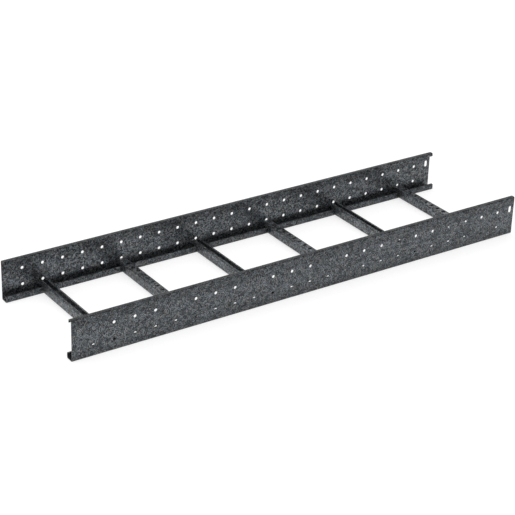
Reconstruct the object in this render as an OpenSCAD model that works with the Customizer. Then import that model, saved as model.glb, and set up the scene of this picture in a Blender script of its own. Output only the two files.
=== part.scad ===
// Cable ladder section: two folded C side rails joined by six slotted C rungs,
// the rungs turned slot up and slot down by turns.
// Millimetres, +Z up. X runs along the ladder and is 0 at mid length.
// Y runs across it and is 0 at the centre line. Z is 0 on the floor.

/* [Ladder] */
// overall width over the two rail webs
ladder_width = 400; // [200:50:600]
// distance from one rung to the next
rung_spacing = 250; // [200:10:350]

/* [Rail section] */
// height of the side rail
rail_height = 120; // [80:1:200]
// sheet thickness of the side rail
rail_sheet = 2; // [1.5:0.25:3]
// width of the top flange over its lip
top_flange = 15; // [12:1:30]
// depth of the lip that hangs from the top flange
top_lip = 10; // [7:1:20]
// width of the bottom flange over its lip
bottom_flange = 27; // [18:1:40]
// height of the lip that stands on the bottom flange
bottom_lip = 18; // [12:1:24]
// width of the return at the top of the bottom lip
bottom_return = 7; // [6:1:9]
// inside radius of every fold in the rail
rail_fold_radius = 1.5; // [1:0.25:2]

/* [Rail holes] */
// diameter of the round holes in the web
hole_diameter = 9; // [6:0.5:12]
// hole pitches from one rung to the next
pitches_per_rung = 4; // [2:1:5]
// height of the lower row of holes above the floor
lower_row_height = 32.5; // [32:0.5:36]
// distance from the lower row up to the upper row
row_gap = 50; // [30:1:60]
// width of the upright slot at the far end of each rail
end_slot_width = 10; // [7:0.5:12]
// end to end height of that slot
end_slot_height = 21; // [14:1:26]
// distance from that slot's centre to the rail end
end_slot_inset = 14.5; // [10:0.5:20]

/* [Rung section] */
// width of the rung along the ladder
rung_width = 26; // [22:1:40]
// depth of the rung from its back to its lips
rung_depth = 30; // [27:0.5:30]
// sheet thickness of the rung
rung_sheet = 2; // [1.5:0.25:2.5]
// width of the long slot left between the rung's two lips
rung_mouth = 12.5; // [8:0.5:14]
// inside radius of every fold in the rung
rung_fold_radius = 1.5; // [1:0.25:1.5]
// gap from the floor up to the underside of each rung
rung_lift = 1.5; // [0.5:0.5:2]

/* [Rung slots] */
// length of each slot across the rung
rung_slot_length = 14; // [10:0.5:15]
// width of each slot along the rung
rung_slot_width = 9; // [6:0.5:11]
// distance from one slot to the next along the rung
rung_slot_pitch = 26.5; // [20:0.5:40]

/* [Hidden] */
$fn = 48;
rung_count = 6;
ladder_length = rung_count * rung_spacing;
half_length = ladder_length / 2;
half_width = ladder_width / 2;
first_rung_x = -rung_spacing * (rung_count - 1) / 2;
hole_pitch = rung_spacing / pitches_per_rung;
holes_per_row = rung_count * pitches_per_rung - 1;
first_hole_x = -hole_pitch * (holes_per_row - 1) / 2;
upper_row_height = lower_row_height + row_gap;
rung_length = ladder_width - 2 * rail_sheet;
rung_lip = (rung_width - rung_mouth) / 2;
cope_height = bottom_lip - rung_lift;
cope_depth = bottom_flange - rail_sheet;
slot_run = ladder_width - 2 * bottom_flange - rung_slot_width;
slots_per_rung = 2 * floor(slot_run / rung_slot_pitch / 2) + 1;
cut = 1;

// A strip of sheet that runs along +X from the origin with its thickness
// toward +Y, and turns left through a quarter circle after every leg.
// flats holds the straight part of each leg.
module folded_strip(flats, sheet, radius, leg = 0) {
    outer = radius + sheet;
    square([flats[leg], sheet]);
    if (leg < len(flats) - 1) {
        translate([flats[leg], outer]) quarter_fold(radius, outer);
        translate([flats[leg] + outer, outer])
            rotate(90) folded_strip(flats, sheet, radius, leg + 1);
    }
}

// The quarter ring that a fold makes, below and to the right of its centre.
module quarter_fold(inner, outer) {
    intersection() {
        difference() {
            circle(r = outer);
            circle(r = inner);
        }
        translate([0, -outer]) square([outer, outer]);
    }
}

// Rail section: web on the left at x = 0, flanges and lips to the right.
module rail_profile() {
    outer = rail_fold_radius + rail_sheet;
    flats = [
        top_lip - outer,
        top_flange - 2 * outer,
        rail_height - 2 * outer,
        bottom_flange - 2 * outer,
        bottom_lip - 2 * outer,
        bottom_return - outer
    ];
    translate([top_flange, rail_height - top_lip])
        rotate(90) folded_strip(flats, rail_sheet, rail_fold_radius);
}

// Rung section: back at y = 0, mouth at the top, centred on x = 0.
module rung_profile() {
    outer = rung_fold_radius + rung_sheet;
    flats = [
        rung_lip - outer,
        rung_depth - 2 * outer,
        rung_width - 2 * outer,
        rung_depth - 2 * outer,
        rung_lip - outer
    ];
    translate([-rung_mouth / 2, rung_depth])
        rotate(180) folded_strip(flats, rung_sheet, rung_fold_radius);
}

// An upright obround that runs through the web, centred at the origin.
module upright_slot(width, height) {
    straight = height - width;
    rotate([90, 0, 0]) {
        for (side = [-1, 1])
            translate([0, side * straight / 2])
                cylinder(d = width, h = 2 * (rail_sheet + cut), center = true);
        cube([width, straight, 2 * (rail_sheet + cut)], center = true);
    }
}

// A slot across the rung's back, centred at the origin.
module cross_slot() {
    straight = rung_slot_length - rung_slot_width;
    for (side = [-1, 1])
        translate([side * straight / 2, 0])
            cylinder(d = rung_slot_width, h = 2 * (rung_sheet + cut), center = true);
    cube([straight, rung_slot_width, 2 * (rung_sheet + cut)], center = true);
}

// Both rows of round holes and the end slot, around the web's plane y = 0.
module web_cuts() {
    for (height = [lower_row_height, upper_row_height])
        for (i = [0 : holes_per_row - 1])
            translate([first_hole_x + i * hole_pitch, 0, height])
                rotate([90, 0, 0])
                    cylinder(d = hole_diameter, h = 2 * (rail_sheet + cut), center = true);
    translate([half_length - end_slot_inset, 0, upper_row_height])
        upright_slot(end_slot_width, end_slot_height);
}

// A rail with its web outside at y = 0 and its flanges toward +Y.
module side_rail() {
    difference() {
        translate([-half_length, 0, 0])
            rotate([90, 0, 90])
                linear_extrude(height = ladder_length) rail_profile();
        translate([0, rail_sheet / 2, 0]) web_cuts();
    }
}

// A rung before its ends are coped: back at z = 0 and mouth up.
module rung_blank() {
    difference() {
        rotate([90, 0, 0])
            linear_extrude(height = rung_length, center = true) rung_profile();
        for (i = [0 : slots_per_rung - 1])
            translate([0, (i - (slots_per_rung - 1) / 2) * rung_slot_pitch, rung_sheet / 2])
                cross_slot();
    }
}

// A rung standing on z = 0. Each end is cut away below the top of the rail's
// lip, so the lower part butts against the lip and the upper part lies on it
// and runs on to the web.
module rung_body(mouth_up) {
    cope_y = (rung_length - cope_depth + cut) / 2;
    difference() {
        if (mouth_up)
            rung_blank();
        else
            translate([0, 0, rung_depth]) rotate([180, 0, 0]) rung_blank();
        for (side = [-1, 1])
            translate([0, side * cope_y, (cope_height - cut) / 2])
                cube([rung_width + 2 * cut, cope_depth + cut, cope_height + cut], center = true);
    }
}

// Rung number i, counted from 0 at the near end: even ones have the mouth up.
module rung(i) {
    color([0.5, 0.51, 0.53])
        translate([first_rung_x + i * rung_spacing, 0, rung_lift])
            rung_body(i % 2 == 0);
}

module side_rail_front() {
    color([0.42, 0.43, 0.45]) translate([0, -half_width, 0]) side_rail();
}

module side_rail_back() {
    color([0.42, 0.43, 0.45]) translate([0, half_width, 0]) mirror([0, 1, 0]) side_rail();
}

side_rail_front();
side_rail_back();
rung(0);  // rung_1
rung(1);  // rung_2
rung(2);  // rung_3
rung(3);  // rung_4
rung(4);  // rung_5
rung(5);  // rung_6
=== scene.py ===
"""Looks of the cable ladder section: hot-dip galvanised steel on a pale studio floor."""
import math

import bpy
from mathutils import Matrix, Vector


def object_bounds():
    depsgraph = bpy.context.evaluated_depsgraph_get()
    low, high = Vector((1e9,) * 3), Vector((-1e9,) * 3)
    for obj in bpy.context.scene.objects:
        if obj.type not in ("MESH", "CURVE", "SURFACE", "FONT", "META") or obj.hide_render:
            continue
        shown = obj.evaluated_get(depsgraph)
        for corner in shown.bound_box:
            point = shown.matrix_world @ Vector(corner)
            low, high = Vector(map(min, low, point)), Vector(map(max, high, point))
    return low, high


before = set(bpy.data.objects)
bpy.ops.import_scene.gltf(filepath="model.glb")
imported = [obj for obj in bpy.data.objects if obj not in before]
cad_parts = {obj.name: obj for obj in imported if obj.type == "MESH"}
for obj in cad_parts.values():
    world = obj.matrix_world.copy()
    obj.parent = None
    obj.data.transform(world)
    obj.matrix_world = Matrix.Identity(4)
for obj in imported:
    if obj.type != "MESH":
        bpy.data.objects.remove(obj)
cad_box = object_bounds()

# Camera, in metres, degrees and millimetres: above and in front of the near left end.
CAMERA_PLACE = (-2.4946, -3.5180, 2.1782)
CAMERA_TURN = (63.418, -1.686, -34.047)
CAMERA_LENS = 117.09
CAMERA_SENSOR = 36.0
CAMERA_NEAR = 0.05
CAMERA_FAR = 100.0

# Strength of the surround at the horizon and overhead.
WORLD_LOW = 0.50
WORLD_HIGH = 1.20

# The soft lamp, in metres and watts.
LAMP_PLACE = (-2.5, -1.5, 3.5)
LAMP_SIZE = 2.5
LAMP_WATTS = 30.0

# The floor: its grey, the glow that lifts it toward white, its side and its drop below the ladder.
FLOOR_COLOUR = (0.48, 0.48, 0.48)
FLOOR_LIFT = 0.60
FLOOR_SIDE = 60.0
FLOOR_DROP = 0.0005

# Texture scales, in repeats a metre, and how far the spangle's edges wander, in metres.
SPANGLE_SCALE = 150.0
BEND_SCALE = 90.0
BEND_REACH = 0.006
CLOUD_SCALE = 24.0
SPECK_SCALE = 300.0

# Ramps that multiply the zinc's colour; each stop is a place and a grey or a colour.
CLOUD_TONE = ((0.32, 0.86), (0.5, 0.95), (0.68, 1.0))
SPECK_TONE = ((0.42, 0.05), (0.5, 0.54), (0.58, 1.0))
HUE_TONE = ((0.0, (1.0, 0.97, 0.90)), (0.5, (0.96, 0.98, 0.98)), (1.0, (0.86, 0.95, 1.0)))

# The zinc's shine, how far the roughness strays from cell to cell, and its bumps in metres.
METAL_SHARE = 0.70
SMOOTHER = 0.08
ROUGHER = 0.10
BUMP_STRENGTH = 0.10
BUMP_DEPTH = 0.0006

# Cut edges and hole rims, brighter over this reach in metres: partly rubbed zinc, partly a painted
# highlight.
EDGE_REACH = 0.0009
EDGE_SAMPLES = 4
EDGE_WEAR_AND_HIGHLIGHT = (0.200, 0.208, 0.218)
EDGE_TURN = ((0.80, 1.0), (0.97, 0.0))

# Painted shade on the rails by share of their height: darker near both folds, where the flanges
# shade the web, darkest on the top flange.
RAIL_HEIGHT = cad_box[1][2] - cad_box[0][2]
RAIL_PAINTED_SHADE = (
    (0.0, 0.72),
    (0.12, 0.80),
    (0.20, 0.96),
    (0.32, 1.03),
    (0.72, 1.03),
    (0.80, 0.80),
    (0.98, 0.74),
    (0.99, 0.44),
)

# Darkest and lightest spangle of each steel, and its mean roughness.
RAIL_DARK = (0.090, 0.097, 0.108)
RAIL_LIGHT = (0.306, 0.320, 0.342)
RAIL_ROUGH = 0.36
RUNG_DARK = (0.112, 0.119, 0.130)
RUNG_LIGHT = (0.362, 0.378, 0.402)
RUNG_ROUGH = 0.38


def new_material(name):
    """An empty node material and its tree."""
    material = bpy.data.materials.new(name)
    material.use_nodes = True
    tree = material.node_tree
    tree.nodes.clear()
    return material, tree


def add(tree, kind, **values):
    """A node of that kind with these attributes or input values."""
    node = tree.nodes.new(kind)
    for key, value in values.items():
        if hasattr(node, key):
            setattr(node, key, value)
        else:
            node.inputs[key].default_value = value
    return node


def mix_colour(tree, blend, factor, a, b):
    """A colour mix; each of factor, a and b is a value or a socket."""
    node = tree.nodes.new("ShaderNodeMix")
    node.data_type = "RGBA"
    node.blend_type = blend
    # A colour mix takes its factor at input 0 and its colours at 6 and 7.
    for index, value in ((0, factor), (6, a), (7, b)):
        socket = node.inputs[index]
        if isinstance(value, bpy.types.NodeSocket):
            tree.links.new(value, socket)
        else:
            socket.default_value = value
    return node.outputs[2]


def ramp(tree, source, stops):
    """A colour ramp over source; stops are (place, grey or colour)."""
    node = tree.nodes.new("ShaderNodeValToRGB")
    while len(node.color_ramp.elements) < len(stops):
        node.color_ramp.elements.new(0.5)
    for element, (place, colour) in zip(node.color_ramp.elements, stops):
        element.position = place
        element.color = (colour, colour, colour, 1) if isinstance(colour, float) else (*colour, 1)
    tree.links.new(source, node.inputs[0])
    return node.outputs[0]


def share_of_height(tree, place):
    """How far up the rail a point lies, from 0 at the floor to 1 at the top."""
    split = add(tree, "ShaderNodeSeparateXYZ")
    tree.links.new(place, split.inputs[0])
    share = add(tree, "ShaderNodeMath", operation="DIVIDE")
    tree.links.new(split.outputs[2], share.inputs[0])
    share.inputs[1].default_value = RAIL_HEIGHT
    return share.outputs[0]


def worn_and_highlit_edges(tree):
    """1 on sharp edges and 0 on open faces."""
    rounded = add(tree, "ShaderNodeBevel", samples=EDGE_SAMPLES)
    rounded.inputs["Radius"].default_value = EDGE_REACH
    true_face = tree.nodes.new("ShaderNodeNewGeometry")
    turn = add(tree, "ShaderNodeVectorMath", operation="DOT_PRODUCT")
    tree.links.new(rounded.outputs[0], turn.inputs[0])
    tree.links.new(true_face.outputs["Normal"], turn.inputs[1])
    return ramp(tree, turn.outputs["Value"], EDGE_TURN)


def galvanised(name, dark, light, rough, shade_by_height=None):
    """Hot-dip galvanised steel: spangle cells, cloudy patches, fine specks, worn edges with a
    painted highlight, and painted shade by height where given.
    """
    material, tree = new_material(name)
    link = tree.links.new
    place = add(tree, "ShaderNodeTexCoord").outputs["Object"]
    cells = add(tree, "ShaderNodeTexVoronoi", Scale=SPANGLE_SCALE, Randomness=1.0)
    warp = add(tree, "ShaderNodeTexNoise", Scale=BEND_SCALE, Detail=2.0)
    cloud = add(tree, "ShaderNodeTexNoise", Scale=CLOUD_SCALE, Detail=4.0, Roughness=0.6)
    fine = add(tree, "ShaderNodeTexNoise", Scale=SPECK_SCALE, Detail=3.0, Roughness=0.75)
    for node in (warp, cloud, fine):
        link(place, node.inputs["Vector"])
    bent = add(tree, "ShaderNodeVectorMath", operation="MULTIPLY_ADD")
    link(warp.outputs["Color"], bent.inputs[0])
    bent.inputs[1].default_value = (BEND_REACH, BEND_REACH, BEND_REACH)
    link(place, bent.inputs[2])
    link(bent.outputs[0], cells.inputs["Vector"])
    spangle = add(tree, "ShaderNodeSeparateColor")
    link(cells.outputs["Color"], spangle.inputs[0])

    middle = tuple((a + b) / 2 for a, b in zip(dark, light))
    colour = ramp(tree, spangle.outputs[0], ((0.0, dark), (0.5, middle), (1.0, light)))
    layers = [
        (cloud.outputs["Fac"], CLOUD_TONE),
        (fine.outputs["Fac"], SPECK_TONE),
        (spangle.outputs[2], HUE_TONE),
    ]
    # Painted shade: a ramp by height darkens the rails near both folds and on the top flange.
    if shade_by_height:
        layers.append((share_of_height(tree, place), shade_by_height))
    for source, stops in layers:
        colour = mix_colour(tree, "MULTIPLY", 1.0, colour, ramp(tree, source, stops))
    # Edges turn to a paler grey: partly wear, partly a painted highlight.
    colour = mix_colour(tree, "MIX", worn_and_highlit_edges(tree), colour, (*EDGE_WEAR_AND_HIGHLIGHT, 1))

    shader = add(tree, "ShaderNodeBsdfPrincipled", Metallic=METAL_SHARE)
    link(colour, shader.inputs["Base Color"])
    gloss = ramp(tree, spangle.outputs[1], ((0.0, rough - SMOOTHER), (1.0, rough + ROUGHER)))
    link(gloss, shader.inputs["Roughness"])
    bump = add(tree, "ShaderNodeBump", Strength=BUMP_STRENGTH, Distance=BUMP_DEPTH)
    link(fine.outputs["Fac"], bump.inputs["Height"])
    link(bump.outputs[0], shader.inputs["Normal"])
    out = add(tree, "ShaderNodeOutputMaterial")
    link(shader.outputs[0], out.inputs[0])
    return material


def seen_ray(tree):
    """1 for rays from the camera and for reflected and refracted ones."""
    path = tree.nodes.new("ShaderNodeLightPath")
    total = path.outputs["Is Camera Ray"]
    for name in ("Is Glossy Ray", "Is Transmission Ray"):
        step = add(tree, "ShaderNodeMath", operation="MAXIMUM")
        tree.links.new(total, step.inputs[0])
        tree.links.new(path.outputs[name], step.inputs[1])
        total = step.outputs[0]
    return total


def make_floor():
    """A wide pale floor that looks white and keeps the object's shadow."""
    material, tree = new_material("pale_floor")
    diffuse = add(tree, "ShaderNodeBsdfDiffuse")
    diffuse.inputs["Color"].default_value = (*FLOOR_COLOUR, 1)
    glow = add(tree, "ShaderNodeEmission")
    level = add(tree, "ShaderNodeMath", operation="MULTIPLY")
    tree.links.new(seen_ray(tree), level.inputs[0])
    level.inputs[1].default_value = FLOOR_LIFT
    tree.links.new(level.outputs[0], glow.inputs["Strength"])
    both = add(tree, "ShaderNodeAddShader")
    tree.links.new(diffuse.outputs[0], both.inputs[0])
    tree.links.new(glow.outputs[0], both.inputs[1])
    out = add(tree, "ShaderNodeOutputMaterial")
    tree.links.new(both.outputs[0], out.inputs[0])
    bpy.ops.mesh.primitive_plane_add(size=FLOOR_SIDE, location=(0, 0, -FLOOR_DROP))
    floor = bpy.context.object
    floor.name = "floor"
    floor.data.materials.append(material)


def make_world():
    """A pale surround, dimmer low down and brighter overhead."""
    world = bpy.data.worlds.new("studio")
    bpy.context.scene.world = world
    world.use_nodes = True
    tree = world.node_tree
    tree.nodes.clear()
    place = add(tree, "ShaderNodeTexCoord")
    up = add(tree, "ShaderNodeSeparateXYZ")
    tree.links.new(place.outputs["Generated"], up.inputs[0])
    level = add(tree, "ShaderNodeMapRange")
    level.inputs["To Min"].default_value = WORLD_LOW
    level.inputs["To Max"].default_value = WORLD_HIGH
    tree.links.new(up.outputs[2], level.inputs["Value"])
    light = add(tree, "ShaderNodeBackground")
    light.inputs["Color"].default_value = (1, 1, 1, 1)
    tree.links.new(level.outputs[0], light.inputs["Strength"])
    out = add(tree, "ShaderNodeOutputWorld")
    tree.links.new(light.outputs[0], out.inputs[0])


def make_lamp(name, place, size, watts):
    """A large soft lamp above the ladder, turned toward its middle."""
    data = bpy.data.lights.new(name, "AREA")
    data.size = size
    data.energy = watts
    lamp = bpy.data.objects.new(name, data)
    lamp.location = place
    bpy.context.scene.collection.objects.link(lamp)
    reach = math.hypot(place[0], place[1])
    lamp.rotation_euler = (math.atan2(reach, place[2]), 0, math.atan2(place[0], -place[1]))


def make_camera():
    """The scene's camera, at the photograph's angle."""
    data = bpy.data.cameras.new("camera")
    data.sensor_width = CAMERA_SENSOR
    data.lens = CAMERA_LENS
    data.clip_start = CAMERA_NEAR
    data.clip_end = CAMERA_FAR
    camera = bpy.data.objects.new("camera", data)
    camera.location = CAMERA_PLACE
    camera.rotation_euler = [math.radians(angle) for angle in CAMERA_TURN]
    bpy.context.scene.collection.objects.link(camera)
    bpy.context.scene.camera = camera


# The rail material takes the painted shade by height.
rail_steel = galvanised("galvanised_rail", RAIL_DARK, RAIL_LIGHT, RAIL_ROUGH, RAIL_PAINTED_SHADE)
rung_steel = galvanised("galvanised_rung", RUNG_DARK, RUNG_LIGHT, RUNG_ROUGH)
for name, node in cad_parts.items():
    node.data.materials.clear()
    node.data.materials.append(rail_steel if name.startswith("side_rail") else rung_steel)

make_floor()
make_world()
make_lamp("key", LAMP_PLACE, LAMP_SIZE, LAMP_WATTS)
make_camera()
bpy.context.scene.view_settings.view_transform = "Standard"
